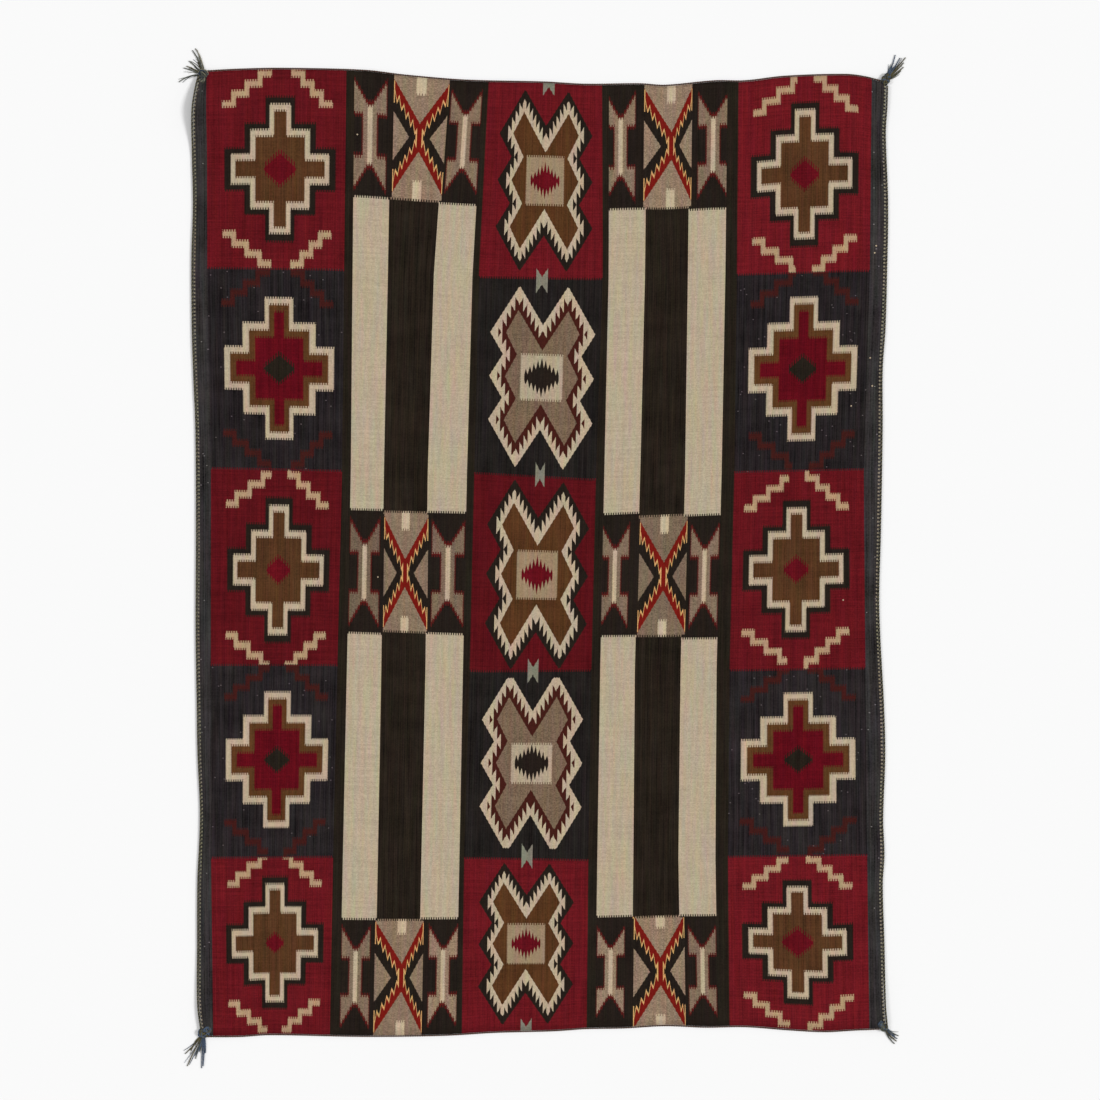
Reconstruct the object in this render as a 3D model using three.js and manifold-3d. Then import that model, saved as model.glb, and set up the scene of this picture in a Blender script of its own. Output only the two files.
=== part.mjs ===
// Handwoven wool rug lying flat on a floor, with edge cords and knotted corner tassels.
// Millimetres, +Z up, +Y along the warps. The origin is the middle of the underside.
import * as THREE from "three";
import { mergeVertices } from "three/addons/utils/BufferGeometryUtils.js";
import Module from "manifold-3d";

// Driving dimensions
const CLOTH_THICKNESS = 3.0;
const SIDE_CORD_DIAMETER = 4.4;
const END_CORD_DIAMETER = 3.2;
const GAP = 0.35;
const WIDTH = 1378;
const LENGTH = 1910;
const COLUMNS = 32;
const ROWS = 48;
const CORD_SIDES = 8;
const STRAND_DIAMETER = 2.0;
const STRAND_SIDES = 4;
const STRAND_STEPS = 6;
const KNOT_HEIGHT = 8.4;
const KNOT_BELLY = 3.4;

// Corners of the outline, cords included
const CORNERS = {
  topLeft: { x: -682, y: 966 },
  topRight: { x: 696, y: 943 },
  bottomLeft: { x: -677, y: -966 },
  bottomRight: { x: 696, y: -950 },
};

// The four edges of the outline, which the loom left a little uneven
const LEFT_EDGE = [
  { at: 966, edge: -682 },
  { at: 932, edge: -689.4 },
  { at: 884, edge: -695.6 },
  { at: 808, edge: -696.4 },
  { at: 700, edge: -694.2 },
  { at: 590, edge: -697.2 },
  { at: 448, edge: -696.4 },
  { at: 348, edge: -693.2 },
  { at: 248, edge: -689.2 },
  { at: 48, edge: -688 },
  { at: -152, edge: -688.8 },
  { at: -300, edge: -686.6 },
  { at: -400, edge: -685 },
  { at: -500, edge: -680.5 },
  { at: -560, edge: -681 },
  { at: -652, edge: -685.2 },
  { at: -780, edge: -685.8 },
  { at: -902, edge: -685.4 },
  { at: -966, edge: -677 },
];
const RIGHT_EDGE = [
  { at: 943, edge: 696 },
  { at: 898, edge: 695 },
  { at: 840, edge: 691.8 },
  { at: 698, edge: 696.4 },
  { at: 548, edge: 694 },
  { at: 448, edge: 691 },
  { at: 370, edge: 685.6 },
  { at: 248, edge: 685.4 },
  { at: 48, edge: 682 },
  { at: -80, edge: 678.6 },
  { at: -160, edge: 680.4 },
  { at: -302, edge: 688 },
  { at: -400, edge: 690.6 },
  { at: -530, edge: 686.4 },
  { at: -602, edge: 689 },
  { at: -660, edge: 685.6 },
  { at: -780, edge: 689 },
  { at: -902, edge: 691.8 },
  { at: -950, edge: 696 },
];
const TOP_EDGE = [
  { at: -682, edge: 966 },
  { at: -600, edge: 970.8 },
  { at: -510, edge: 972.4 },
  { at: -350, edge: 968.4 },
  { at: -270, edge: 959 },
  { at: -150, edge: 949 },
  { at: 10, edge: 945 },
  { at: 90, edge: 940.6 },
  { at: 200, edge: 941.5 },
  { at: 250, edge: 938.5 },
  { at: 350, edge: 947.5 },
  { at: 410, edge: 947.5 },
  { at: 490, edge: 956.6 },
  { at: 610, edge: 960.2 },
  { at: 650, edge: 955.4 },
  { at: 696, edge: 943 },
];
const BOTTOM_EDGE = [
  { at: -677, edge: -966 },
  { at: -600, edge: -966 },
  { at: -540, edge: -962.4 },
  { at: -350, edge: -965.8 },
  { at: -190, edge: -963.6 },
  { at: -90, edge: -957.8 },
  { at: 30, edge: -954.5 },
  { at: 90, edge: -950.4 },
  { at: 170, edge: -948.8 },
  { at: 250, edge: -944.4 },
  { at: 330, edge: -947.4 },
  { at: 410, edge: -946.4 },
  { at: 500, edge: -953 },
  { at: 570, edge: -956.4 },
  { at: 630, edge: -953 },
  { at: 696, edge: -950 },
];

// Places where the edge stands off the floor: a ripple near one corner and small curls at the others
const RIPPLES = [
  { x: -700, y: 892, spreadX: 62, spreadY: 40, height: 13 },
  { x: 705, y: -925, spreadX: 60, spreadY: 60, height: 3.5 },
  { x: 705, y: 930, spreadX: 50, spreadY: 50, height: 2.5 },
  { x: -690, y: -940, spreadX: 50, spreadY: 60, height: 2.5 },
];
// A ripple dies out where its height falls under this share of its peak
const RIPPLE_FOOT = 0.04;

// Corner knots. Each lump is an ellipse in plan, and each strand leaves the middle of the first lump.
// heading and bend are in degrees, anticlockwise from +X.
const TASSELS = [
  {
    name: "tassel_top_left",
    colour: 0x39474a,
    lumps: [
      { x: -673, y: 958, radiusX: 10, radiusY: 10 },
      { x: -675, y: 946, radiusX: 8, radiusY: 9 },
    ],
    strands: [
      { heading: 80, length: 24, bend: 40 },
      { heading: 91, length: 56, bend: 38 },
      { heading: 104, length: 54, bend: 24 },
      { heading: 118, length: 28, bend: -14 },
      { heading: 131, length: 40, bend: 12 },
      { heading: 146, length: 38, bend: 16 },
      { heading: 158, length: 42, bend: 6 },
      { heading: 178, length: 52, bend: 44 },
    ],
  },
  {
    name: "tassel_top_right",
    colour: 0x44536a,
    lumps: [
      { x: 690, y: 946, radiusX: 8, radiusY: 9 },
      { x: 694, y: 953, radiusX: 6.5, radiusY: 7 },
    ],
    strands: [
      { heading: 70, length: 40, bend: -12 },
      { heading: 62, length: 56, bend: 16 },
      { heading: 54, length: 55, bend: 6 },
      { heading: 47, length: 62, bend: 4 },
      { heading: 40, length: 52, bend: 10 },
      { heading: 31, length: 46, bend: 14 },
      { heading: 20, length: 38, bend: 30 },
    ],
  },
  {
    name: "tassel_bottom_left",
    colour: 0x3c4a55,
    lumps: [
      { x: -672, y: -958, radiusX: 11, radiusY: 9 },
      { x: -665, y: -951, radiusX: 8, radiusY: 7 },
    ],
    strands: [
      { heading: 222, length: 44, bend: 26 },
      { heading: 232, length: 56, bend: -10 },
      { heading: 240, length: 74, bend: 8 },
      { heading: 248, length: 54, bend: 10 },
      { heading: 256, length: 48, bend: -12 },
      { heading: 264, length: 70, bend: 6 },
      { heading: 272, length: 66, bend: -8 },
      { heading: 281, length: 40, bend: -16 },
    ],
  },
  {
    name: "tassel_bottom_right",
    colour: 0x37424c,
    lumps: [
      { x: 688, y: -946, radiusX: 7.5, radiusY: 9 },
      { x: 681, y: -938, radiusX: 6, radiusY: 8 },
    ],
    strands: [
      { heading: 288, length: 40, bend: 34 },
      { heading: 299, length: 38, bend: 30 },
      { heading: 310, length: 35, bend: 20 },
      { heading: 322, length: 34, bend: 16 },
      { heading: 334, length: 28, bend: -34 },
    ],
  },
];

// Colours of the yarns, one for each piece
const CLOTH_COLOUR = 0x5c1a22;
const SIDE_CORD_COLOUR = 0x3a3c36;
const END_CORD_COLOUR = 0x23251f;
const WOOL_ROUGHNESS = 0.95;

const wasm = await Module();
wasm.setup();

// Height of an edge at a place along it, by a cubic through the table's rows
function edgeAt(table, place) {
  const rising = table[1].at > table[0].at;
  const rows = rising ? table : table.slice().reverse();
  const last = rows.length - 1;
  let i = 0;
  while (i < last - 1 && rows[i + 1].at < place) {
    i += 1;
  }
  const before = rows[Math.max(i - 1, 0)];
  const start = rows[i];
  const end = rows[i + 1];
  const after = rows[Math.min(i + 2, last)];
  const span = end.at - start.at;
  const slopeStart = (end.edge - before.edge) / (end.at - before.at);
  const slopeEnd = (after.edge - start.edge) / (after.at - start.at);
  const t = (place - start.at) / span;
  const rise = 3 * t * t - 2 * t * t * t;
  const leave = t * t * t - 2 * t * t + t;
  const arrive = t * t * t - t * t;
  const level = start.edge * (1 - rise) + end.edge * rise;
  return level + span * (leave * slopeStart + arrive * slopeEnd);
}

function mix(a, b, share) {
  return a + (b - a) * share;
}

// A place in the cloth: u runs across it and v along its warps, both from 0 to 1, the cords included.
// The inside is blended from the four edges.
function clothPlace(u, v) {
  const { topLeft, topRight, bottomLeft, bottomRight } = CORNERS;
  const leftY = mix(bottomLeft.y, topLeft.y, v);
  const rightY = mix(bottomRight.y, topRight.y, v);
  const leftX = edgeAt(LEFT_EDGE, leftY);
  const rightX = edgeAt(RIGHT_EDGE, rightY);
  const topX = mix(topLeft.x, topRight.x, u);
  const bottomX = mix(bottomLeft.x, bottomRight.x, u);
  const topY = edgeAt(TOP_EDGE, topX);
  const bottomY = edgeAt(BOTTOM_EDGE, bottomX);
  const cornerX = mix(mix(bottomLeft.x, bottomRight.x, u), mix(topLeft.x, topRight.x, u), v);
  const cornerY = mix(mix(bottomLeft.y, bottomRight.y, u), mix(topLeft.y, topRight.y, u), v);
  const x = mix(leftX, rightX, u) + mix(bottomX, topX, v) - cornerX;
  const y = mix(leftY, rightY, u) + mix(bottomY, topY, v) - cornerY;
  return { x, y };
}

// How far the underside stands off the floor
function lift(x, y) {
  let height = 0;
  for (const ripple of RIPPLES) {
    const acrossShare = (x - ripple.x) / ripple.spreadX;
    const alongShare = (y - ripple.y) / ripple.spreadY;
    const share = Math.exp(-(acrossShare * acrossShare + alongShare * alongShare) / 2);
    height += (ripple.height * Math.max(share - RIPPLE_FOOT, 0)) / (1 - RIPPLE_FOOT);
  }
  return height;
}

// Moves every point of a geometry by a function of its own place
function reshape(geometry, place) {
  const points = geometry.attributes.position;
  const point = new THREE.Vector3();
  for (let i = 0; i < points.count; i += 1) {
    point.fromBufferAttribute(points, i);
    const moved = place(point);
    points.setXYZ(i, moved.x, moved.y, moved.z);
  }
  return geometry;
}

function toSolid(geometry) {
  const bare = geometry.clone();
  bare.deleteAttribute("normal");
  bare.deleteAttribute("uv");
  const welded = mergeVertices(bare, 1e-4);
  const mesh = new wasm.Mesh({
    numProp: 3,
    vertProperties: new Float32Array(welded.attributes.position.array),
    triVerts: new Uint32Array(welded.index.array),
  });
  return new wasm.Manifold(mesh);
}

function toGeometry(solid) {
  const mesh = solid.getMesh();
  const geometry = new THREE.BufferGeometry();
  geometry.setAttribute("position", new THREE.BufferAttribute(mesh.vertProperties, 3));
  geometry.setIndex(new THREE.BufferAttribute(mesh.triVerts, 1));
  geometry.computeVertexNormals();
  return geometry;
}

// The woven sheet, inside the edge cords
function clothSheet() {
  const sideInset = (SIDE_CORD_DIAMETER + GAP) / WIDTH;
  const endInset = (END_CORD_DIAMETER + GAP) / LENGTH;
  const box = new THREE.BoxGeometry(1, 1, CLOTH_THICKNESS, COLUMNS, ROWS, 1);
  return reshape(box, (point) => {
    const u = mix(sideInset, 1 - sideInset, point.x + 0.5);
    const v = mix(endInset, 1 - endInset, point.y + 0.5);
    const { x, y } = clothPlace(u, v);
    return { x, y, z: point.z + CLOTH_THICKNESS / 2 + lift(x, y) };
  });
}

// A cord along one long side: u is fixed, and it ends inside the corner knots
function sideCord(u, fromV, toV) {
  const radius = SIDE_CORD_DIAMETER / 2;
  const tube = new THREE.CylinderGeometry(radius, radius, 1, CORD_SIDES, ROWS);
  return reshape(tube, (point) => {
    const { x, y } = clothPlace(u, mix(fromV, toV, point.y + 0.5));
    return { x: x + point.x, y, z: point.z + radius + lift(x, y) };
  });
}

// A cord along one end: v is fixed
function endCord(v, fromU, toU) {
  const radius = END_CORD_DIAMETER / 2;
  const tube = new THREE.CylinderGeometry(radius, radius, 1, CORD_SIDES, COLUMNS);
  return reshape(tube, (point) => {
    const { x, y } = clothPlace(mix(fromU, toU, point.y + 0.5), v);
    return { x, y: y - point.x, z: point.z + radius + lift(x, y) };
  });
}

// One lump of a knot, flat underneath where it meets the floor
function knotLump(lump) {
  const ball = new THREE.SphereGeometry(1, 12, 8);
  const up = KNOT_HEIGHT - KNOT_BELLY;
  return reshape(ball, (point) => {
    const x = lump.x + lump.radiusX * point.x;
    const y = lump.y + lump.radiusY * point.y;
    const z = Math.max(KNOT_BELLY + up * point.z, 0.12 * KNOT_BELLY * (1 + point.z));
    return { x, y, z };
  });
}

// The room that a lump takes out of the cloth and the cords, cut straight down
function knotRoom(lump) {
  const room = new THREE.CylinderGeometry(1, 1, 60, 20);
  return reshape(room, (point) => {
    const x = lump.x + (lump.radiusX + GAP) * point.x;
    const y = lump.y + (lump.radiusY + GAP) * point.z;
    return { x, y, z: -point.y };
  });
}

// One loose yarn end: an arc in plan that comes down from the knot and lies level on the floor
function strand(root, row) {
  const points = [];
  const radius = STRAND_DIAMETER / 2;
  const landing = 14;
  let x = root.x;
  let y = root.y;
  const stride = row.length / STRAND_STEPS;
  for (let i = 0; i <= STRAND_STEPS; i += 1) {
    const share = i / STRAND_STEPS;
    const fall = Math.max(0, 1 - (share * row.length) / landing);
    points.push(new THREE.Vector3(x, y, radius + fall * fall * (KNOT_BELLY - radius)));
    const heading = THREE.MathUtils.degToRad(row.heading + row.bend * share);
    x += stride * Math.cos(heading);
    y += stride * Math.sin(heading);
  }
  const section = new THREE.Shape();
  for (let i = 0; i < STRAND_SIDES; i += 1) {
    const angle = (2 * Math.PI * i) / STRAND_SIDES;
    const corner = [radius * Math.cos(angle), radius * Math.sin(angle)];
    if (i === 0) {
      section.moveTo(...corner);
    } else {
      section.lineTo(...corner);
    }
  }
  section.closePath();
  return new THREE.ExtrudeGeometry(section, {
    steps: STRAND_STEPS,
    bevelEnabled: false,
    extrudePath: new THREE.CatmullRomCurve3(points),
  });
}

function tassel(row) {
  let solid = toSolid(knotLump(row.lumps[0]));
  for (const lump of row.lumps.slice(1)) {
    solid = solid.add(toSolid(knotLump(lump)));
  }
  for (const strandRow of row.strands) {
    solid = solid.add(toSolid(strand(row.lumps[0], strandRow)));
  }
  return toGeometry(solid);
}

// Cuts room for the corner knots out of a piece
function clearOfKnots(geometry) {
  let solid = toSolid(geometry);
  for (const row of TASSELS) {
    for (const lump of row.lumps) {
      solid = solid.subtract(toSolid(knotRoom(lump)));
    }
  }
  return toGeometry(solid);
}

function addMesh(group, name, geometry, colour) {
  const material = new THREE.MeshStandardMaterial({
    color: colour,
    roughness: WOOL_ROUGHNESS,
    metalness: 0,
  });
  const mesh = new THREE.Mesh(geometry, material);
  mesh.name = name;
  group.add(mesh);
}

// Where a cord's middle lies across the outline, and where it ends under the knots
const sideMiddle = SIDE_CORD_DIAMETER / 2 / WIDTH;
const endMiddle = END_CORD_DIAMETER / 2 / LENGTH;
const sideEnd = 8 / LENGTH;
const endEnd = 6 / WIDTH;

const rug = new THREE.Group();
addMesh(rug, "rug", clearOfKnots(clothSheet()), CLOTH_COLOUR);
const sides = [
  { name: "side_cord_left", u: sideMiddle },
  { name: "side_cord_right", u: 1 - sideMiddle },
];
for (const side of sides) {
  addMesh(rug, side.name, clearOfKnots(sideCord(side.u, sideEnd, 1 - sideEnd)), SIDE_CORD_COLOUR);
}
const ends = [
  { name: "end_cord_top", v: 1 - endMiddle },
  { name: "end_cord_bottom", v: endMiddle },
];
for (const end of ends) {
  addMesh(rug, end.name, clearOfKnots(endCord(end.v, endEnd, 1 - endEnd)), END_CORD_COLOUR);
}
for (const row of TASSELS) {
  addMesh(rug, row.name, tassel(row), row.colour);
}

export default rug;
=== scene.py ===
import math

import bpy
import numpy as np
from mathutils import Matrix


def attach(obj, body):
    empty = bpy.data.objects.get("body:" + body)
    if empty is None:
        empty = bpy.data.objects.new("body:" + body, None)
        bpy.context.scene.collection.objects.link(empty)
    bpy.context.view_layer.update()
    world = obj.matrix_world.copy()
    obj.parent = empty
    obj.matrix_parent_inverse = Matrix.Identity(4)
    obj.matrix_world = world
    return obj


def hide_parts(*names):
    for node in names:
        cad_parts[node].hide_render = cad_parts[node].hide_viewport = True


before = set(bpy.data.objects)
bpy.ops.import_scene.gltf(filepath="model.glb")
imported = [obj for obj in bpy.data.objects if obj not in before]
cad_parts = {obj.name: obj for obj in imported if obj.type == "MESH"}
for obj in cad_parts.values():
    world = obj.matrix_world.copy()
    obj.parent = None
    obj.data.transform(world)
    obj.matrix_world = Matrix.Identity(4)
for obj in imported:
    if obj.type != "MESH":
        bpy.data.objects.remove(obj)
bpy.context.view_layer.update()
MM = 0.001
rng = np.random.default_rng(20)

# Camera, straight down, with 2.2 m across the picture
camera_data = bpy.data.cameras.new("camera")
camera_data.lens = 85
camera_data.sensor_width = 36
camera = bpy.data.objects.new("camera", camera_data)
camera.location = (0.020, 0.008, 5.194)
bpy.context.scene.collection.objects.link(camera)
bpy.context.scene.camera = camera

# Sizes shared with the CAD source
CLOTH_THICKNESS = 3.0
SIDE_CORD_DIAMETER = 4.4
END_CORD_DIAMETER = 3.2
GAP = 0.35
WIDTH = 1378
LENGTH = 1910
KNOT_HEIGHT = 8.4
KNOT_BELLY = 3.4
STRAND_RADIUS = 1.0

# The four edges of the outline: place along the edge, and where the edge is there
LEFT_EDGE = [
    (966, -682), (932, -689.4), (884, -695.6), (808, -696.4), (700, -694.2), (590, -697.2), (448, -696.4),
    (348, -693.2), (248, -689.2), (48, -688), (-152, -688.8), (-300, -686.6), (-400, -685), (-500, -680.5),
    (-560, -681), (-652, -685.2), (-780, -685.8), (-902, -685.4), (-966, -677),
]
RIGHT_EDGE = [
    (943, 696), (898, 695), (840, 691.8), (698, 696.4), (548, 694), (448, 691), (370, 685.6), (248, 685.4),
    (48, 682), (-80, 678.6), (-160, 680.4), (-302, 688), (-400, 690.6), (-530, 686.4), (-602, 689),
    (-660, 685.6), (-780, 689), (-902, 691.8), (-950, 696),
]
TOP_EDGE = [
    (-682, 966), (-600, 970.8), (-510, 972.4), (-350, 968.4), (-270, 959), (-150, 949), (10, 945),
    (90, 940.6), (200, 941.5), (250, 938.5), (350, 947.5), (410, 947.5), (490, 956.6), (610, 960.2),
    (650, 955.4), (696, 943),
]
BOTTOM_EDGE = [
    (-677, -966), (-600, -966), (-540, -962.4), (-350, -965.8), (-190, -963.6), (-90, -957.8),
    (30, -954.5), (90, -950.4), (170, -948.8), (250, -944.4), (330, -947.4), (410, -946.4), (500, -953),
    (570, -956.4), (630, -953), (696, -950),
]

# x, y, spread in x, spread in y, height
RIPPLES = [
    (-700, 892, 62, 40, 13),
    (705, -925, 60, 60, 3.5),
    (705, 930, 50, 50, 2.5),
    (-690, -940, 50, 60, 2.5),
]
RIPPLE_FOOT = 0.04

# The weave: one rib for each warp, and a pick is one pass of weft
WARP = 2.4
PICK = 1.6
WARPS = 570
CLOTH_PICKS = 1190

# Straight colour edges along the warps: warp number, and x at six heights
HEIGHTS = (-958, -606, -228, 162, 564, 958)
COLUMN_LINES = [
    (11, -653, -657.4, -658, -657.6, -665, -666),
    (118, -420, -413.6, -405.2, -395.6, -391.6, -387),
    (126, -401, -394, -386, -378.2, -374.6, -371),
    (155, -331, -324, -317.2, -312, -304, -297),
    (193, -244, -237, -229, -224.4, -212, -184),
    (225, -168, -161, -154, -146, -134.8, -112),
    (230, -156.4, -151.6, -140.4, -131.4, -122, -102),
    (331, 93, 96.6, 102.8, 112, 125.6, 124),
    (338, 110, 114.6, 120.4, 128.6, 137.4, 138),
    (368, 183, 186.6, 189.6, 200.4, 210, 214),
    (405, 282, 276.6, 281, 290, 295.6, 300),
    (436, 356, 350.6, 353, 363, 370.6, 375),
    (446, 379, 375.6, 379, 388.4, 393.6, 397),
    (559, 658, 654, 650.4, 647, 659.2, 663),
]

# Edges between the red and the dark blocks: pick number, and y at six places across
ACROSS = (-648, -420, -112, 100, 410, 620)
ROW_LINES = [
    (219, -607, -605, -608, -612, -604.4, -601.6),
    (454, -221.6, -221.8, -234.6, -232.8, -232.4, -228.6),
    (699, 171.8, 166.8, 161, 148.6, 164.4, 169),
    (948, 571.8, 568.6, 553, 549.4, 558.6, 565.6),
]


def mix(a, b, share):
    return a + (b - a) * share


def edge_at(table, place):
    """An edge at places along it, by a cubic through the table's rows."""
    at, edge = np.array(sorted(table), float).T
    place = np.clip(np.asarray(place, float), at[0], at[-1])
    last = len(at) - 1
    i = np.clip(np.searchsorted(at, place) - 1, 0, last - 1)
    before, end, after = np.maximum(i - 1, 0), i + 1, np.minimum(i + 2, last)
    span = at[end] - at[i]
    leaving = span * (edge[end] - edge[before]) / (at[end] - at[before])
    arriving = span * (edge[after] - edge[i]) / (at[after] - at[i])
    t = (place - at[i]) / span
    curve = (t**3 - 2 * t * t + t) * leaving + (t**3 - t * t) * arriving
    return mix(edge[i], edge[end], 3 * t * t - 2 * t**3) + curve


def edge_share(table, share):
    """An edge at a share of the way along it, upwards or to the right."""
    return edge_at(table, mix(min(table)[0], max(table)[0], share))


def cloth_place(u, v):
    """The CAD source's blend of the four edges, for the cords."""
    x = mix(edge_share(LEFT_EDGE, v), edge_share(RIGHT_EDGE, v), u)
    y = mix(edge_share(BOTTOM_EDGE, u), edge_share(TOP_EDGE, u), v)
    return x, y


def lift(x, y):
    """How far the underside stands off the floor."""
    height = np.zeros(np.shape(x))
    for centre_x, centre_y, spread_x, spread_y, peak in RIPPLES:
        share = np.exp(-(((x - centre_x) / spread_x) ** 2 + ((y - centre_y) / spread_y) ** 2) / 2)
        height = height + peak * np.maximum(share - RIPPLE_FOOT, 0) / (1 - RIPPLE_FOOT)
    return height


SIDE_INSET = SIDE_CORD_DIAMETER + GAP
END_INSET = END_CORD_DIAMETER + GAP
S_LINES = np.array([0] + [row[0] for row in COLUMN_LINES] + [WARPS]) * WARP
T_LINES = np.array([0] + [row[0] for row in ROW_LINES] + [CLOTH_PICKS]) * PICK


def column_x(y):
    """x of each column line at heights y."""
    inner = [np.interp(y, HEIGHTS, row[1:]) for row in COLUMN_LINES]
    return np.array([edge_at(LEFT_EDGE, y) + SIDE_INSET, *inner, edge_at(RIGHT_EDGE, y) - SIDE_INSET])


def row_y(x):
    """y of each line between blocks at places x."""
    inner = [np.interp(x, ACROSS, row[1:]) for row in ROW_LINES]
    return np.array([edge_at(BOTTOM_EDGE, x) + END_INSET, *inner, edge_at(TOP_EDGE, x) - END_INSET])


def between(places, marks, values):
    """Values between the two marks around each place."""
    i = np.clip(np.searchsorted(marks, places, side="right") - 1, 0, len(marks) - 2)
    share = (places - marks[i]) / (marks[i + 1] - marks[i])
    k = np.arange(len(places))
    return values[i, k] * (1 - share) + values[i + 1, k] * share


# Rounds of the search for a place, and the weave's middle, from which it starts
SEARCH_ROUNDS = 5
MIDDLE_S, MIDDLE_T = 685.0, 955.0


def woven_place(s, t):
    """Where a place in the weave lies: s across the warps and t along them, as woven."""
    x, y = s - MIDDLE_S, t - MIDDLE_T
    for _ in range(SEARCH_ROUNDS):
        x = between(s, S_LINES, column_x(y))
        y = between(t, T_LINES, row_y(x))
    return x, y


def woven_at(x, y):
    """The place in the weave of a point in the rug's frame."""
    s = np.interp(x, column_x(np.array([y]))[:, 0], S_LINES)
    t = np.interp(y, row_y(np.array([x]))[:, 0], T_LINES)
    return float(s), float(t)


def make_object(name, points, faces, materials):
    """A smooth object in the scene, all of it in the first of its materials."""
    mesh = bpy.data.meshes.new(name)
    mesh.from_pydata([tuple(p) for p in points], [], faces)
    for material in materials:
        mesh.materials.append(material)
    mesh.polygons.foreach_set("use_smooth", np.ones(len(mesh.polygons), bool))
    mesh.update()
    thing = bpy.data.objects.new(name, mesh)
    bpy.context.scene.collection.objects.link(thing)
    return thing


# Where each figure's middle lies, in the rug's frame, and its size as shares of the common one.
# Crosses: x, y, share across, share along, share of the heart, and for the stepped lines on the left
# and on the right the stride and where the first riser stands
LEFT_CROSSES = [
    (-519.6, 770, 1, 1, 1, 26, 88, 18.5, 77), (-521.2, 371, 1, 1, 1, 25, 87, 19, 80),
    (-523, -32, 0.92, 1, 0.8, 28, 87, 21.5, 79), (-526, -411, 0.93, 0.96, 0.88, 27, 86, 22, 80),
    (-530, -777, 0.875, 0.91, 0.64, 25, 80, 23.5, 78),
]
RIGHT_CROSSES = [
    (529, 759, 0.97, 1, 0.92, 29, 80, 23.5, 82), (525, 370, 0.99, 1.015, 0.9, 28, 80, 22, 82),
    (512, -31, 0.96, 0.955, 0.8, 28, 84, 22, 83), (516, -411, 1.045, 0.94, 0.88, 26, 84, 22, 84),
    (515, -776, 1, 0.86, 0.98, 25, 82, 22, 84),
]
# X figures: x, y, share across, share along, half height of the square, height of the tips
X_FIGURES = [
    (10, 746, 0.93, 0.96, 50, 187), (3, 352.8, 1, 1, 46, 180), (-6, -42, 1, 1, 47.5, 187),
    (-17, -418, 0.97, 0.99, 39.5, 172), (-28, -779, 0.93, 0.855, 46.5, 187),
]
# Forked marks: x, y, share across
MARKS = [
    (18, 944, 1), (4, 546, 1), (0, 158, 0.8), (-14, -234, 0.92), (-26, -604, 0.94), (-28, -958, 0.94),
]

# Panels between the stripes: x, y, half widths to the left and right
PANELS = {
    "left": [(-241.4, 831.8, 53, 53), (-269.6, -38.2, 43.4, 45.4), (-277, -846.6, 54.4, 43)],
    "right": [(263, 816, 56, 40), (246.8, -45, 50.6, 45), (241.2, -834, 55.6, 47.8)],
}
# Double arrows beside each panel: x, y, width share, height share
ARROWS = {
    "left": [
        [(-340, 837.6, 1.09, 1.08), (-152.4, 824, 1.03, 0.97)],
        [(-351, -36.2, 0.99, 1.02), (-184.4, -38.8, 1.09, 0.99)],
        [(-369.4, -844.8, 0.955, 0.966), (-194.4, -843, 0.955, 0.966)],
    ],
    "right": [
        [(161, 813.4, 0.93, 1.04), (346, 818, 1, 1)],
        [(149, -44, 0.93, 0.98), (328, -44, 0.95, 0.98)],
        [(140.8, -835, 0.92, 0.85), (325, -833.6, 0.92, 0.85)],
    ],
}
PANEL_HALF_WIDTH = 53
# Where the stripes end along the warps: upper top, upper bottom, lower top, lower bottom
STRIPE_ENDS = {
    "left": [(1661, 1041, 793, 228.5), (1662, 1038, 799, 227), (1659, 1040.5, 798, 231)],
    "right": [(1655, 1046, 796.5, 232), (1656, 1039, 796, 228), (1650, 1036.5, 790, 230)],
}
UPPER_STRIPE_MIDDLE = 1349
LOWER_STRIPE_MIDDLE = 513
PANEL_ROWS = {"left": (226, 801, 1036, 1664), "right": (226, 798, 1034, 1658)}
BLOCK_MIDDLES = (175, 540, 918, 1317, 1710)
ROW_CUTS = [*T_LINES, *PANEL_ROWS["left"], *PANEL_ROWS["right"], *BLOCK_MIDDLES]
ROW_CUTS += [UPPER_STRIPE_MIDDLE, LOWER_STRIPE_MIDDLE]

# Colours of the yarns, in sRGB
YARNS = {
    "red": (94, 20, 26), "navy": (42, 37, 38), "navy_middle": (36, 32, 30), "side_strip": (52, 49, 49),
    "stitch": (140, 132, 112), "gap": (37, 31, 24), "black": (36, 29, 24), "cream": (188, 169, 144),
    "rect_cream": (196, 177, 148), "line_cream": (192, 173, 145), "ivory": (184, 168, 143),
    "brown_stripe": (38, 31, 24), "brown_cross": (84, 54, 32), "brown_x": (86, 54, 30),
    "heart_red": (98, 16, 26), "inner_red": (94, 13, 24), "maroon": (68, 30, 24),
    "ring_brown": (90, 58, 32), "grey": (120, 99, 80), "arrow_grey": (136, 115, 95),
    "white": (178, 162, 137), "tan": (156, 133, 106), "step_tan": (178, 148, 116),
    "step_maroon": (66, 28, 25), "panel_red": (118, 26, 20), "outline_red": (88, 26, 24),
    "gold": (210, 162, 104), "teal": (130, 128, 112),
}
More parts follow.
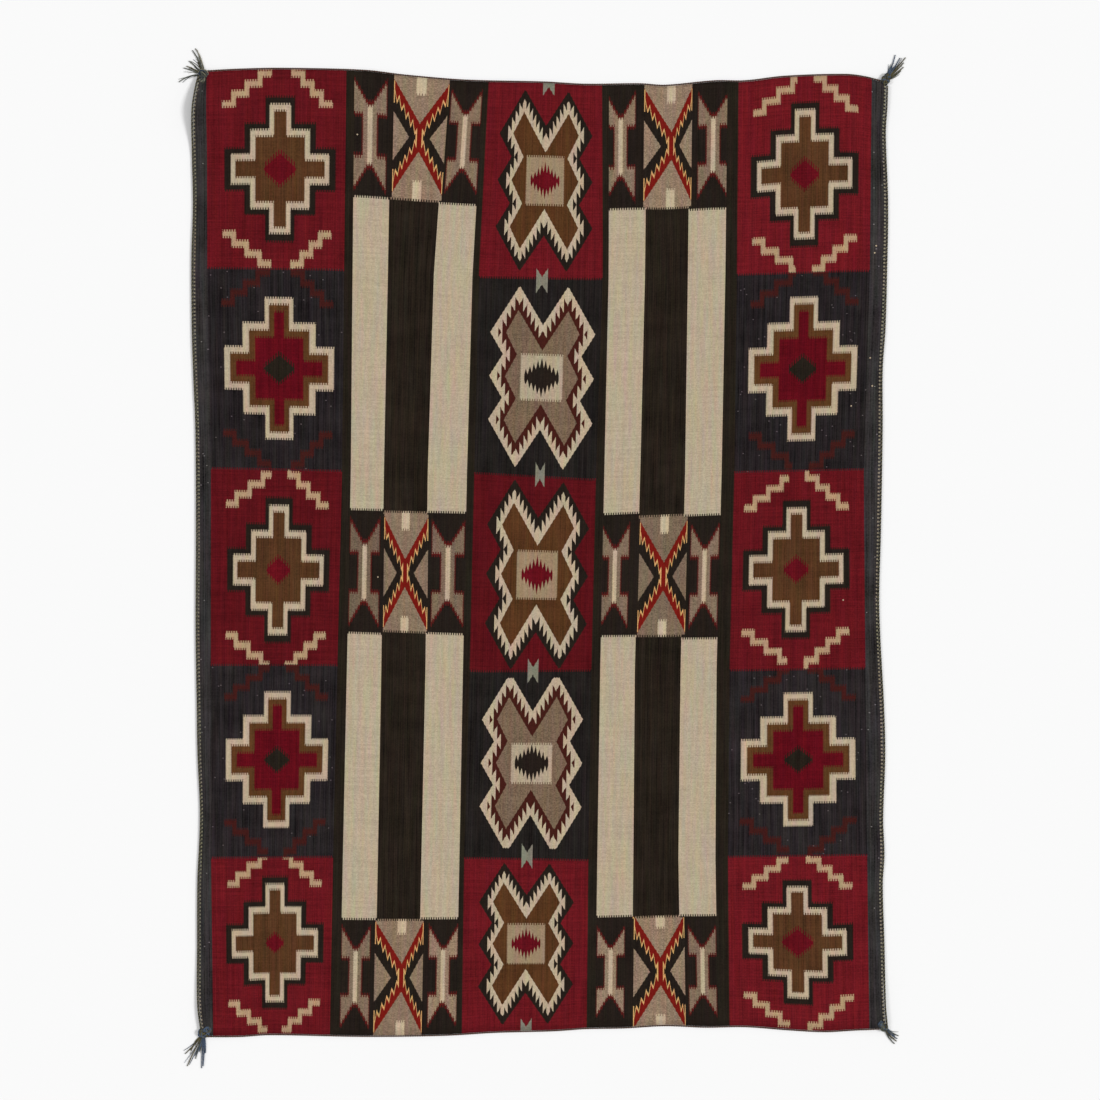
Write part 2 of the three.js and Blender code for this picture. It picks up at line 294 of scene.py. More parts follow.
# How far each yarn shows painted rib shading along the warps, and how far its tone changes in speckles and
# from pick to pick
USUAL_HABIT = (0.12, 0.03, 0.10)
HABITS = {
    "red": (0.36, 0.04, 0.34), "inner_red": (0.40, 0.04, 0.26), "heart_red": (0.40, 0.04, 0.26),
    "navy": (0.90, 0.06, 0.12), "navy_middle": (0.75, 0.06, 0.14), "side_strip": (0.85, 0.10, 0.14),
    "gap": (0.5, 0.06, 0.12), "black": (0.4, 0.06, 0.14), "brown_stripe": (0.75, 0.06, 0.10),
    "brown_cross": (0.52, 0.05, 0.18), "brown_x": (0.45, 0.05, 0.16), "ring_brown": (0.4, 0.05, 0.16),
    "ivory": (0.04, 0.02, 0.15), "grey": (0.20, 0.16, 0.16), "arrow_grey": (0.14, 0.18, 0.16),
}
# Shares of the change in hue, of the painted rib shading from one warp to the next, and of bright and dark
# patches
HUE_SHARE = 0.16
RIB_SHADE_TONE = 0.14
PATCH_SHARE = 0.5
# Stitches of the side cords into the cloth
STITCH_PITCH = 7.4
STITCH_SHARE = 0.46
STITCH_REACH = 3.2
# Bits of pale lint, x and y
LINT = [(-365, 838.6), (-324, -46), (672, 616), (669, 602), (606, -92), (660, 392), (664, 336), (622, 296)]
LINT_REACH = 1.8
# Tone of the ground of each block, from the top, and of the grey in the panels and arrows
BLOCK_TONES = {
    "left": (1.10, 0.82, 0.94, 0.92, 1.20), "middle": (1.22, 0.92, 0.88, 0.92, 1.24),
    "right": (1.36, 0.82, 1.12, 0.96, 1.32),
}
PANEL_TONES = {"left": (1.12, 1.0, 1.02), "right": (1.18, 0.81, 1.16)}
ARROW_TONES = {
    "left": ((0.97, 0.95), (0.68, 0.82), (0.87, 1.2)),
    "right": ((1.0, 0.93), (0.86, 0.92), (1.18, 0.9)),
}
WOOL_SHARE = 0.93


def to_linear(value):
    value /= 255
    return value / 12.92 if value <= 0.04045 else ((value + 0.055) / 1.055) ** 2.4


def wool_colour(colour):
    """An sRGB colour of yarn as a linear one with its alpha."""
    return (*[WOOL_SHARE * to_linear(value) for value in colour], 1)


def add_node(tree, kind, inputs, output=0, **settings):
    """A node with its settings and its inputs, by number or name. Gives one of its outputs."""
    node = tree.nodes.new("ShaderNode" + kind)
    for name, value in settings.items():
        setattr(node, name, value)
    for slot, value in inputs.items():
        if isinstance(value, Field):
            value = value.socket
        if isinstance(value, bpy.types.NodeSocket):
            tree.links.new(value, node.inputs[slot])
        else:
            node.inputs[slot].default_value = value
    return node.outputs[output]


def maths(operation):
    """A method of Field that adds a Math node."""

    def method(self, *others):
        inputs = dict(enumerate((self, *others)))
        return Field(self.tree, add_node(self.tree, "Math", inputs, operation=operation))

    return method


class Field:
    """A number that varies over a surface, as a socket of a node tree."""

    def __init__(self, tree, socket):
        self.tree = tree
        self.socket = socket

    __add__ = maths("ADD")
    __sub__ = maths("SUBTRACT")
    __mul__ = maths("MULTIPLY")
    __abs__ = maths("ABSOLUTE")
    over = maths("DIVIDE")
    times_plus = maths("MULTIPLY_ADD")
    below = maths("LESS_THAN")
    above = maths("GREATER_THAN")
    least = maths("MINIMUM")
    most = maths("MAXIMUM")
    floor = maths("FLOOR")
    fraction = maths("FRACT")
    modulo = maths("MODULO")
    pingpong = maths("PINGPONG")

    def replaced(self, mask, value):
        """The value where the mask is one, and this field where it is zero."""
        return self * mask.times_plus(-1.0, 1.0) + mask * value


def split(tree, vector):
    """The three parts of a vector or a colour."""
    first = add_node(tree, "SeparateXYZ", {0: vector})
    return [Field(tree, part) for part in first.node.outputs]


def new_material(name, roughness=0.92, gloss=0.03):
    material = bpy.data.materials.new(name)
    material.use_nodes = True
    shader = material.node_tree.nodes["Principled BSDF"]
    shader.inputs["Roughness"].default_value = roughness
    shader.inputs["Specular IOR Level"].default_value = gloss
    return material, material.node_tree, shader


# Teeth of the colour edges: height along the warps, width across them, and how far slanting edges
# keep to the picks
COMB_TOOTH = 4.2
SIDE_TOOTH = 1.3
SLANT_SHARE = 0.3


class Weave:
    """A material and the places of a tapestry weave in it. Each colour fills whole warps and picks,
    and picks are staggered from warp to warp, so level edges have comb teeth."""

    def __init__(self, name):
        self.material, self.tree, self.shader = new_material(name)
        self.place = add_node(self.tree, "UVMap", {}, uv_map="woven")
        self.s, self.t, _ = split(self.tree, self.place)
        self.warp = (self.s * (1 / WARP)).floor()
        self.parity = self.warp.modulo(2.0)
        staggered = self.parity.times_plus(COMB_TOOTH, self.t) + -COMB_TOOTH / 2
        self.pick = (staggered * (1 / PICK)).floor()
        self.t_woven = self.pick.times_plus(PICK, PICK / 2)
        self.t_shift = self.t_woven - self.t
        self.s_shift = self.pick.modulo(2.0).times_plus(SIDE_TOOTH, -SIDE_TOOTH / 2)

    def uv(self, name):
        """The two coordinates of a UV map, in millimetres."""
        return split(self.tree, add_node(self.tree, "UVMap", {}, uv_map=name))[:2]

    def local(self, name):
        """How far a place is from a figure's middle, across and along, snapped to the weave."""
        a, b = self.uv(name)
        return abs(a + self.s_shift), abs(b + self.t_shift)

    def slanting(self, name):
        """The same for slanting edges, which keep to the weave only loosely."""
        a, b = self.uv(name)
        return abs(a), abs(self.t_shift.times_plus(SLANT_SHARE, b))

    def scaled(self, scale):
        return add_node(self.tree, "VectorMath", {0: self.place, 1: scale}, operation="MULTIPLY")

    def noise(self, scale, detail):
        """The output of a noise, from its cycles a millimetre across and along the warps."""
        inputs = {"Vector": self.scaled(scale), "Scale": 1.0, "Detail": detail, "Roughness": 0.6}
        return add_node(self.tree, "TexNoise", inputs, noise_dimensions="2D")

    def swing(self, scale, detail):
        """The same noise as a field around zero."""
        return Field(self.tree, self.noise(scale, detail)) + -0.5


def stepped(tree, fac, stops):
    """A ColorRamp of constant steps: stops are (place, colour)."""
    output = add_node(tree, "ValToRGB", {0: fac})
    ramp = output.node.color_ramp
    ramp.interpolation = "CONSTANT"
    while len(ramp.elements) < len(stops):
        ramp.elements.new(0.999)
    for element, (place, _) in zip(ramp.elements, stops):
        element.position = place
    for element, (_, colour) in zip(ramp.elements, stops):
        element.color = (*colour[:3], 1)
    return output


def blended(tree, share, first, second):
    return add_node(tree, "Mix", {0: share, 6: first, 7: second}, 2, data_type="RGBA")


def tinted(tree, colour, tone):
    return add_node(tree, "VectorMath", {0: colour, "Scale": tone}, operation="SCALE")


RELIEF_STRENGTH = 0.5


def finish_shader(tree, shader, colour, height, depth):
    """Plugs in the colour, and a relief of a height from zero to one, with its depth in metres."""
    tree.links.new(colour, shader.inputs["Base Color"])
    relief = {"Strength": RELIEF_STRENGTH, "Distance": depth, "Height": height}
    tree.links.new(add_node(tree, "Bump", relief), shader.inputs["Normal"])


def lint(weave):
    """One on the bits of lint."""
    found = weave.parity * 0.0
    for x, y in LINT:
        s, t = woven_at(x, y)
        away = abs(weave.s + -s) + abs(weave.t + -t)
        found = found.most(away.below(LINT_REACH))
    return found


# Noises over the weave: cycles a millimetre across and along the warps, and detail
# Streaks along the warps are painted rib shading
RIB_SHADE_STREAKS = ((0.16, 0.006, 0), 3.0)
PASSES = ((0.010, 0.35, 0), 2.0)
FLECKS = ((0.40, 0.75, 0), 2.0)
PATCHES = ((0.012, 0.020, 0), 2.0)
HUES = ((0.10, 0.008, 0), 2.0)
# Tone of a bead of weft, and the few pale beads: level of the noise, which yarns have them, tone
BEAD_TONE = 0.10
STRAY_LEVEL = 0.4982
STRAY_YARNS = 0.8
STRAY_TONE = 5.0
PICK_RELIEF = 0.0004


def wool_tone(weave, index, toned, habit):
    """The tone of each bead of weft, around one, from painted rib shading in streaks along the warps,
    passes, flecks and patches.
    """
    rib_shade_and_patch_share, speckle_share, pick_share = habit
    cell = add_node(weave.tree, "CombineXYZ", {0: weave.warp, 1: weave.pick})
    bead = add_node(weave.tree, "TexWhiteNoise", {"Vector": cell}, "Value", noise_dimensions="2D")
    bead = Field(weave.tree, bead) + -0.5
    # Painted rib shading: alternate warps lighter and darker, then streaks along the warps, in each yarn's
    # share
    tone = ((weave.parity + -0.5) * RIB_SHADE_TONE).times_plus(rib_shade_and_patch_share, bead * BEAD_TONE)
    tone = weave.swing(*RIB_SHADE_STREAKS).times_plus(rib_shade_and_patch_share, tone)
    tone = weave.swing(*PASSES).times_plus(pick_share, tone)
    tone = weave.swing(*FLECKS).times_plus(speckle_share, tone)
    tone = bead.times_plus(speckle_share, tone)
    tone = (weave.swing(*PATCHES) * PATCH_SHARE).times_plus(rib_shade_and_patch_share, tone)
    tone = tone.times_plus(2.0, 1.0)
    block_tone, _ = weave.uv("tone")
    own = abs(index + -float(toned)).below(0.5)
    tone = tone * own.times_plus(block_tone + -1.0, 1.0)
    stray = bead.above(STRAY_LEVEL) * rib_shade_and_patch_share.above(STRAY_YARNS)
    return stray.times_plus(STRAY_TONE, tone)


def finish_wool(weave, index, yarns, toned=0):
    """Gives each yarn number its colour, tone and a slow drift of hue along the warps. The yarn
    number toned also takes the tone of its block. Gives the material."""
    tree, count = weave.tree, len(yarns)
    place = index.times_plus(1 / count, 0.5 / count)
    colours = [(i / count, wool_colour(YARNS[yarn])) for i, yarn in enumerate(yarns)]
    habits = [(i / count, HABITS.get(yarn, USUAL_HABIT)) for i, yarn in enumerate(yarns)]
    habit = split(tree, stepped(tree, place, habits))
    toned_wool = tinted(tree, stepped(tree, place, colours), wool_tone(weave, index, toned, habit))
    hue = weave.noise(*HUES).node.outputs["Color"]
    drift = {0: hue, 1: (2 * HUE_SHARE,) * 3, 2: (1 - HUE_SHARE,) * 3}
    drift = add_node(tree, "VectorMath", drift, operation="MULTIPLY_ADD")
    dyed = add_node(tree, "VectorMath", {0: toned_wool, 1: drift}, operation="MULTIPLY")
    colour = blended(tree, lint(weave), dyed, wool_colour(YARNS["line_cream"]))
    wave = {"Vector": weave.scaled((0, 1 / PICK, 0)), "Scale": 1.0}
    wave = add_node(tree, "TexWave", wave, "Fac", bands_direction="Y")
    finish_shader(tree, weave.shader, colour, wave, PICK_RELIEF)
    return weave.material


def over_ground(weave, index, kind, other_index):
    """Puts the neighbouring block's ground past the edge of this block. Along a column the blocks
    go red, dark, red, dark, red."""
    t = weave.t_woven
    lines = [row[0] * PICK for row in ROW_LINES]
    red = t.below(lines[0]) + t.above(lines[1]) * t.below(lines[2]) + t.above(lines[3])
    other = red.times_plus(-1.0, 1.0) if kind == "red" else red
    return index.replaced(other, other_index)


# Crosses: half widths and heights of the steps of the three terraces, from the inside out
CROSS_SHAPES = {
    "red": [
        ((89, 17), (49, 66), (12, 117)), ((98, 30), (59, 79), (21, 129)), ((111, 43), (71, 92), (29, 145)),
    ],
    "navy": [
        ((86, 15), (48, 62), (10, 114)), ((98, 30), (60, 77), (20, 128)), ((109, 43), (72, 91), (28, 141)),
    ],
}
CROSS_REACH = 160.0
# Hearts: half width, height in the middle, slope outwards, and the step from one warp to the next
HEARTS = {"red": (32.0, 40.0, -0.9, -9.0), "navy": (31.0, 35.0, -0.85, -8.0)}
# Stepped lines: thickness of bars and risers, rise of a step, length of the lowest bar, height of its
# upper edge, and where the line stops near the middle
STEP_BAR, STEP_RISER, STEP_RISE, STEP_FOOT, STEP_TOP, STEP_STOP = 13.0, 9.0, 20.0, 27.0, 137.0, 17.0
CROSS_YARNS = {
    "red": ["red", "black", "cream", "brown_cross", "heart_red", "step_tan", "navy"],
    "navy": ["navy", "cream", "ring_brown", "inner_red", "gap", "step_maroon", "red"],
}


def terraces(tree, a, b, shapes):
    """How many of the terraced crosses a place lies in."""
    stops = []
    for place in sorted({0} | {width for shape in shapes for width, _ in shape}):
        heights = [max([h for w, h in shape if w > place], default=0) for shape in shapes]
        stops.append((place / CROSS_REACH, [height / CROSS_REACH for height in heights]))
    roofs = split(tree, stepped(tree, a * (1 / CROSS_REACH), stops))
    height = b * (1 / CROSS_REACH)
    return height.below(roofs[0]) + height.below(roofs[1]) + height.below(roofs[2])


def cross_material(kind):
    """Three terraced crosses inside each other, a small diamond at the heart, and stepped corner lines."""
    weave = Weave("cross_" + kind)
    a, b = weave.local("figure")
    heart_share, _ = weave.uv("mark")
    half, height, fall, ragged = HEARTS[kind]
    heart_a, heart_b = [field.over(heart_share) for field in weave.slanting("figure")]
    heart_edge = heart_a.times_plus(fall, weave.parity.times_plus(ragged, height))
    index = terraces(weave.tree, a, b, CROSS_SHAPES[kind]) + heart_a.below(half) * heart_b.below(heart_edge)
    # Stepped lines in the corners, counted in strides inwards from the first riser
    stride, start = weave.uv("size")
    run = (start - a + STEP_RISER).over(stride)
    step = run.floor().most(-1.0)
    riser = ((run - step) * stride).below(STEP_RISER) * step.above(-0.5)
    high = step.times_plus(STEP_RISE, STEP_TOP + STEP_RISE)
    low = riser.times_plus(-STEP_RISE, high + -STEP_BAR)
    line = b.above(low) * b.below(high) * (a - start).below(STEP_FOOT) * a.above(STEP_STOP)
    index = line.times_plus(5.0, index)
    return finish_wool(weave, over_ground(weave, index, kind, 6.0), CROSS_YARNS[kind])


# X figures: for the core and the outer edge, the half width at the lobes' tips, its narrowing, height of
# the notch and slope from there; height of the lobes, pitch and reach of the spikes, half of the square
X_SHAPES = {
    "red": ((72, 0.5, 59, 1.69), (102, 0.58, 114.5, 1.54), 97.0, 7.55, 88.9, 40.5),
    "navy": ((73, 0.52, 53.5, 1.62), (104.5, 0.6, 104.5, 1.62), 88.0, 8.06, 120.0, 42.0),
}
# Half width, heights of the notches and of the points at the middle and their fall outwards, pitch
DIAMONDS = {"red": (31, 19, 0.62, 40, 0.93, 7.3), "navy": (34.5, 22, 0.60, 41, 0.78, 7.95)}
SPIKE = 28.0
SPIKE_ROOT = 12.0
# Forked marks: half width, height in the middle, slope outwards
MARK_HALF, MARK_NOTCH, MARK_SLOPE = 11.6, 7.5, 1.5
X_YARNS = {
    "red": ["red", "black", "cream", "brown_x", "tan", "heart_red", "teal", "navy_middle"],
    "navy": ["navy_middle", "cream", "maroon", "grey", "white", "black", "teal", "red"],
}


def diamond(a, b, kind):
    """A diamond with a spike at every third warp."""
    half, notch, notch_fall, point, point_fall, pitch = DIAMONDS[kind]
    spike = a.pingpong(pitch / 2).times_plus(-2 / pitch, 1.0)
    edge = a.times_plus(-notch_fall, notch) + spike * a.times_plus(notch_fall - point_fall, point - notch)
    return a.below(half) * b.below(edge)


def lobed(a, b, lobe, shape):
    """One inside a six-lobed outline."""
    width, narrowing, notch, slope = shape
    return a.below(lobe.times_plus(-narrowing, width)) * b.below(a.times_plus(slope, notch))


def x_material(kind):
    """A six-lobed X figure with serrated edges, a square and a diamond in its middle."""
    weave = Weave("x_" + kind)
    a, b = weave.slanting("figure")
    level_a, level_b = weave.local("figure")
    square_height, tip = weave.uv("size")
    core_shape, outer_shape, lobe_height, pitch, farthest, square_half = X_SHAPES[kind]
    lobe = b.least(abs(b + -lobe_height))
    outer = lobed(a, b, lobe, outer_shape) * b.below(tip)
    # Spikes: upright on their outer sides, slanting on the inner ones
    width, narrowing, notch, slope = core_shape
    spike = (a * (1 / pitch)).fraction() * SPIKE
    reach = (lobe - spike).times_plus(-narrowing, width + narrowing * SPIKE_ROOT).least(farthest)
    toothed = a.below(reach) * b.below(a.times_plus(slope, notch + SPIKE_ROOT + SPIKE) - spike)
    square = level_a.below(square_half) * level_b.below(square_height)
    index = outer + toothed + lobed(a, b, lobe, core_shape) + square + diamond(a, b, kind)
    index = over_ground(weave, index, kind, 7.0)
    mark_a, mark_b = weave.slanting("mark")
    mark = mark_a.below(MARK_HALF) * mark_b.below(mark_a.times_plus(MARK_SLOPE, MARK_NOTCH))
    return finish_wool(weave, index.replaced(mark, 6.0), X_YARNS[kind])


def stripe_end(weave):
    """One where the stripe runs, from the distance inside it."""
    _, inside = weave.uv("mark")
    return (inside + weave.t_shift).above(0.0)


# Double arrows: half width and height of the pale line; half widths of the shaft and the head and
# height of its shoulder, for the arrow and its rim; the notch, and how far the rim passes it
ARROW_LINE = (4.4, 53.0)
ARROW_BODY = (12.2, 29.0, 41.0)
ARROW_RIM = (14.4, 30.5, 35.0)
NOTCH_HALF, NOTCH_HEIGHT, NOTCH_SLOPE, NOTCH_RIM = 4.5, 55.0, 1.75, 8.0
ARROW_YARNS = ["black", "outline_red", "arrow_grey", "line_cream", "ivory"]


def arrow_material():
    """An ivory stripe, and past its ends a double arrow on black."""
    weave = Weave("stripe_arrow")
    a, b = weave.local("figure")
    notch = (a + -NOTCH_HALF).most(0.0).times_plus(NOTCH_SLOPE, NOTCH_HEIGHT)
    index = a.below(ARROW_LINE[0]) * b.below(ARROW_LINE[1])
    for (shaft, head, shoulder), top in ((ARROW_BODY, notch), (ARROW_RIM, notch + NOTCH_RIM)):
        index = index + a.below(shaft).most(b.above(shoulder)) * b.below(top) * a.below(head)
    index = stripe_end(weave).times_plus(4.0, index)
    return finish_wool(weave, index, ARROW_YARNS, 2)


# Panels: slope and middle height of the grey's edges; the zigzag, its line and the red middle; the
# upright line, the line at the side with its ends, and the pale block
END_GREY, SIDE_GREY = (1.6, 28.0), (1.5, -31.0)
ZIGZAG_PITCH, ZIGZAG_STEEPNESS, ZIGZAG_DEPTH = 9.4, 3.9, -8.0
ZIGZAG_LINE, RED_MIDDLE = 3.2, 5.0
UPRIGHT_LINE = (4.8, 7.4)
SIDE_LINE, SIDE_LINE_ENDS = 51.2, (66.0, 110.0)
BLOCK_HEIGHT, BLOCK_HALF = 87.0, 9.5
PANEL_YARNS = ["black", "arrow_grey", "rect_cream", "panel_red", "gold", "brown_stripe"]


def panel_material():
    """A brown stripe, and past its ends a crossing of red and black bands on heathered grey."""
    weave = Weave("stripe_panel")
    a, b = weave.slanting("figure")
    level_a, level_b = weave.local("figure")
    grey = b.above(a.times_plus(*END_GREY)).most(b.below(a.times_plus(*SIDE_GREY)))
    # A crisp line runs in steep strokes between the red and the black band
    zigzag = a.pingpong(ZIGZAG_PITCH / 2).times_plus(ZIGZAG_STEEPNESS, ZIGZAG_DEPTH)
    above_line = b - a.times_plus(END_GREY[0], zigzag)
    red = above_line.above(0.0).most(a.below(RED_MIDDLE))
    strokes = abs(above_line).below(ZIGZAG_LINE) * a.above(RED_MIDDLE)
    upright = a.above(UPRIGHT_LINE[0]) * a.below(UPRIGHT_LINE[1]) * above_line.below(0.0)
    side_line = a.above(SIDE_LINE) * b.above(SIDE_LINE_ENDS[0]) * b.below(SIDE_LINE_ENDS[1])
    gold = strokes.most(upright).most(side_line)
    index = (red * 3.0).most(gold * 4.0).replaced(grey, 1.0)
    block = level_b.above(BLOCK_HEIGHT) * level_a.below(BLOCK_HALF)
    index = index.most(block * 2.0).replaced(stripe_end(weave), 5.0)
    return finish_wool(weave, index, PANEL_YARNS, 1)


def gap_material():
    """The plain dark strips between the columns of figures."""
    weave = Weave("gap_wool")
    return finish_wool(weave, weave.parity * 0.0, ["gap"])


def side_strip_material():
    """Plain dark cloth, with the pale stitches that hold the cord along its outer edge."""
    weave = Weave("side_strip_wool")
    from_edge = weave.s.least(weave.s.times_plus(-1.0, WARPS * WARP))
    stitch = (weave.t * (1 / STITCH_PITCH)).fraction().below(STITCH_SHARE)
    return finish_wool(weave, stitch * from_edge.below(STITCH_REACH), ["side_strip", "stitch"])


CLOTH_MATERIALS = [
    side_strip_material(),
    gap_material(),
    cross_material("red"),
    cross_material("navy"),
    x_material("red"),
    x_material("navy"),
    arrow_material(),
    panel_material(),
]
SIDE_STRIP, GAP_STRIP, CROSS_RED, CROSS_NAVY, X_RED, X_NAVY, ARROW, PANEL = range(8)
NO_FIGURE, NO_MARK, NO_SIZES = (0, 0, 1, 1), (0, 0, 0, 0, 0, 0), (0, 0)

# The woven sheet: three points to a rib on top, one below, in rows set close where the edge ripples
RIB_HEIGHT = 0.42
RIB_FOOT = CLOTH_THICKNESS - 0.3
UNDERSIDE = 0.05
TOP_SAMPLES = 3
LONGEST_ROW = 94
SHORTEST_ROW = 3
RIPPLE_ROWS = [22.0, 46, 72, 102, 136, *np.arange(1736.0, 1900, 16)]


def cloth_rows():
    rows = sorted({float(row) for row in (*ROW_CUTS, *RIPPLE_ROWS)})
    kept = [rows[0]]
    for row in rows[1:]:
        if row - kept[-1] > SHORTEST_ROW:
            steps = int(np.ceil((row - kept[-1]) / LONGEST_ROW))
            kept += list(np.linspace(kept[-1], row, steps + 1)[1:])
        elif row == rows[-1]:
            kept[-1] = row
    return np.array(kept)


# Half of the span over which the stretch of the weave is taken
HALF_ACROSS, HALF_ALONG = 40.0, 80.0


def stretch_at(s, t):
    """How many millimetres of weave there are to each lying millimetre there, across and along."""
    x, _ = woven_place(np.array([s - HALF_ACROSS, s + HALF_ACROSS]), np.array([t, t]))
    _, y = woven_place(np.array([s, s]), np.array([t - HALF_ALONG, t + HALF_ALONG]))
    return 2 * HALF_ACROSS / (x[1] - x[0]), 2 * HALF_ALONG / (y[1] - y[0])


def woven_rows(rows):
    """Rows of x, y, share across, share along and more, with their place and shares as woven."""
    found = []
    for x, y, across, along, *more in rows:
        s, t = woven_at(x, y)
        inside = float(np.clip(t, HALF_ALONG + 1, T_LINES[-1] - HALF_ALONG - 1))
        narrow, short = stretch_at(s, inside)
        found.append((s, t, across * narrow, along * short, *more))
    return found


CROSSES_WOVEN = {"left": woven_rows(LEFT_CROSSES), "right": woven_rows(RIGHT_CROSSES)}
X_WOVEN = woven_rows(X_FIGURES)
MARKS_WOVEN = woven_rows([(*mark, 1) for mark in MARKS])
MARKS_WOVEN[0] = (MARKS_WOVEN[0][0], float(T_LINES[-1]), *MARKS_WOVEN[0][2:])
MARKS_WOVEN[-1] = (MARKS_WOVEN[-1][0], 0.0, *MARKS_WOVEN[-1][2:])


def woven_panel(x, y, left, right):
    """A panel's middle and the shares of its halves, with its sides between two warps."""
    s, t = woven_at(x, y)
    s = round(s / (WARP / TOP_SAMPLES)) * WARP / TOP_SAMPLES
    low, high = [round(woven_at(edge, y)[0] / WARP) * WARP for edge in (x - left, x + right)]
    return s, t, (s - low) / PANEL_HALF_WIDTH, (high - s) / PANEL_HALF_WIDTH


PANELS_WOVEN = {side: [woven_panel(*row) for row in rows] for side, rows in PANELS.items()}
ARROWS_WOVEN = {side: [woven_rows(pair) for pair in pairs] for side, pairs in ARROWS.items()}
PANEL_LIST = PANELS_WOVEN["left"] + PANELS_WOVEN["right"]
# The strips between the lines along the warps, numbered from the left
SIDE_STRIPS, CROSS_STRIPS, GAP_STRIPS, X_STRIP = (0, 14), (1, 13), (2, 6, 8, 12), 7
FIRST_STRIPE = {"left": 3, "right": 9}


def zone_of(s, t):
    """What a face of the cloth belongs to: its material; s, t and shares across and along of its
    figure; s, t, two factors and two addends of its mark; its two sizes; and its tone."""
    strip = int(np.searchsorted(S_LINES, s, side="right")) - 1
    block = int(np.clip(np.searchsorted(T_LINES, t, side="right") - 1, 0, 4))
    from_top = 4 - block
    side = "left" if strip < X_STRIP else "right"
    if strip in SIDE_STRIPS + GAP_STRIPS:
        plain = SIDE_STRIP if strip in SIDE_STRIPS else GAP_STRIP
        return plain, NO_FIGURE, NO_MARK, NO_SIZES, 1
    if strip in CROSS_STRIPS:
        row = CROSSES_WOVEN[side][from_top]
        steps = row[5:7] if s < row[0] else row[7:9]
        heart = (0, 0, 0, 0, row[4], 0)
        return (CROSS_RED, CROSS_NAVY)[block % 2], row[:4], heart, steps, BLOCK_TONES[side][from_top]
    if strip == X_STRIP:
        row = X_WOVEN[from_top]
        mark = min(MARKS_WOVEN, key=lambda place: abs(place[1] - t))
        mark = (mark[0], mark[1], 1 / mark[2], 1, 0, 0)
        return (X_RED, X_NAVY)[block % 2], row[:4], mark, row[4:6], BLOCK_TONES["middle"][from_top]
    return stripe_zone(side, strip - FIRST_STRIPE[side], s, t)


def stripe_zone(side, zone, s, t):
    """The same among the stripes. Zones are the left stripe, the middle one and the right one, or
    past their ends the left arrow, the panel and the right arrow."""
    panel = 0 if t > UPPER_STRIPE_MIDDLE else (1 if t > LOWER_STRIPE_MIDDLE else 2)
    rows = PANEL_ROWS[side]
    low, high = ((rows[3], math.inf), (rows[1], rows[2]), (-1, rows[0]))[panel]
    middle_s, middle_t, left_share, right_share = PANELS_WOVEN[side][panel]
    if low < t < high:
        zone = 1
        if s < middle_s - PANEL_HALF_WIDTH * left_share:
            zone = 0
        elif s > middle_s + PANEL_HALF_WIDTH * right_share:
            zone = 2
    nearer = (1, 1) if t > BLOCK_MIDDLES[2] else (2, -1)
    end, inwards = ((0, -1), nearer, (3, 1))[panel]
    mark = (0, STRIPE_ENDS[side][zone][end], 0, inwards, 0, 0)
    if zone == 1:
        share = left_share if s < middle_s else right_share
        figure = (middle_s, middle_t, share, stretch_at(middle_s, middle_t)[1])
        return PANEL, figure, mark, NO_SIZES, PANEL_TONES[side][panel]
    arrow = zone // 2
    return ARROW, ARROWS_WOVEN[side][panel][arrow], mark, NO_SIZES, ARROW_TONES[side][panel][arrow]


def grid_faces(rows, columns, base=0, around=False, ring=False, flip=False):
    """Faces between the points of a grid, whose rows may close around and whose columns into a ring."""
    faces = []
    for j in range(rows if ring else rows - 1):
        low, high = base + j * columns, base + (j + 1) % rows * columns
        for i in range(columns if around else columns - 1):
            n = (i + 1) % columns
            face = (low + i, low + n, high + n, high + i)
            faces.append((face[0], *face[:0:-1]) if flip else face)
    return faces


def sheet_layer(across, rows, heights):
    """Points of one face of the cloth, and their places in the weave."""
    s, t = [values.ravel() for values in np.meshgrid(across, rows)]
    x, y = woven_place(s, t)
    z = np.tile(heights, len(rows)) + lift(x, y)
    return np.stack([x, y, z], 1), np.stack([s, t], 1)


def woven_sheet():
    rows = cloth_rows()
    columns = np.arange(WARPS * TOP_SAMPLES + 1) * (WARP / TOP_SAMPLES)
    low_columns = columns[::TOP_SAMPLES]
    crown = np.where(np.arange(len(columns)) % TOP_SAMPLES == 0, 0.0, RIB_HEIGHT)
    unevenness = 1 + 0.5 * (rng.random(len(columns)) - 0.5)
    top, top_woven = sheet_layer(columns, rows, RIB_FOOT + crown * unevenness)
    low, low_woven = sheet_layer(low_columns, rows, np.full(len(low_columns), UNDERSIDE))
    across, below, base = len(columns), len(low_columns), len(top)
    faces = grid_faces(len(rows), across)
    faces += grid_faces(len(rows), below, base, flip=True)
    for j in range(len(rows) - 1):
        k, m = j * across, base + j * below
        faces.append((m, k, k + across, m + below))
        k, m = k + across - 1, m + below - 1
        faces.append((k, m, m + below, k + across))
    last = len(rows) - 1
    for i in range(below - 1):
        upper = [TOP_SAMPLES * i + n for n in range(TOP_SAMPLES + 1)]
        faces.append((base + i, base + i + 1, *reversed(upper)))
        m = base + last * below + i
        faces.append((m + 1, m, *[last * across + n for n in upper]))
    sheet = make_object("woven_cloth", np.concatenate([top, low]) * MM, faces, CLOTH_MATERIALS)
    dress_sheet(sheet.data, np.concatenate([top_woven, low_woven]))
    return sheet


